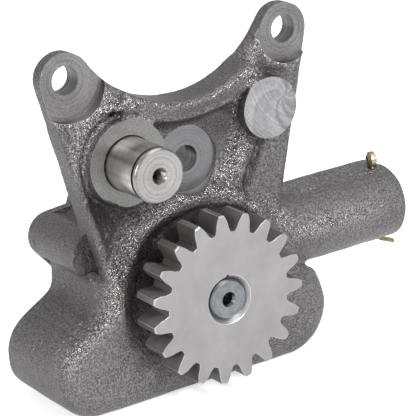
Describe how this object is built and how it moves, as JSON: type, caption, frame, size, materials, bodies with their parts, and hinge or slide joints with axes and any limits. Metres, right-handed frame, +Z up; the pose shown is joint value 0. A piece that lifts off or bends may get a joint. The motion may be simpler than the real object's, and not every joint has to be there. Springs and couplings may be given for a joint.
{
  "type": "engine oil pump",
  "caption": "Gear-driven engine oil pump: cast housing with mounting plate, spur gear, idler stub shaft, relief valve tube and internal rotor set.",
  "frame": {"origin": "centre of the drive gear's front face, on the drive shaft's axis", "axes": "+X towards the relief tube's end, +Y along the shafts away from the gear side, +Z up towards the saddle"},
  "size_m": [0.1634, 0.0819, 0.1414],
  "materials": {
    "casting": "shot-blasted grey iron",
    "machined_steel": "turned and ground steel",
    "gear_steel": "satin hobbed steel",
    "sintered_steel": "sintered steel",
    "zinc_steel": "zinc plated",
    "yellow_zinc": "yellow passivated steel wire",
    "bearing_bronze": "bearing bronze",
    "seal_rubber": "oil-resistant rubber"
  },
  "bodies": {
    "housing": {"pump_body": "casting", "rear_cover": "casting", "cover_seal": "seal_rubber", "cover_screws": "zinc_steel", "cover_dowels": "machined_steel", "front_bush": "bearing_bronze", "rear_bush": "bearing_bronze", "thrust_washer": "bearing_bronze", "idler_shaft": "machined_steel", "relief_spring": "machined_steel", "spring_cap": "machined_steel", "split_pin": "yellow_zinc", "gallery_plug": "zinc_steel"},
    "drive": {"drive_shaft": "zinc_steel", "drive_gear": "gear_steel", "gear_key": "machined_steel", "inner_rotor": "sintered_steel", "rotor_key": "machined_steel"},
    "outer_rotor": {"outer_rotor": "sintered_steel"},
    "relief_valve": {"relief_plunger": "machined_steel"}
  },
  "joints": [
    {"name": "drive_spin", "type": "hinge", "parent": "housing", "child": "drive", "pos_m": [0, 0, 0], "axis": [0, 1, 0], "continuous": true},
    {"name": "outer_rotor_spin", "type": "hinge", "parent": "housing", "child": "outer_rotor", "pos_m": [0, 0.0474, 0.0035], "axis": [0, 1, 0], "continuous": true},
    {"name": "relief_slide", "type": "slide", "parent": "housing", "child": "relief_valve", "axis": [1, 0, 0], "range_m": [0, 0.012], "stiffness_N_per_m": 1500, "springref_m": -0.01, "deforming": ["relief_spring"]}
  ],
  "couplings": [
    {"joint": "outer_rotor_spin", "follows": "drive_spin", "ratio": 0.8}
  ]
}
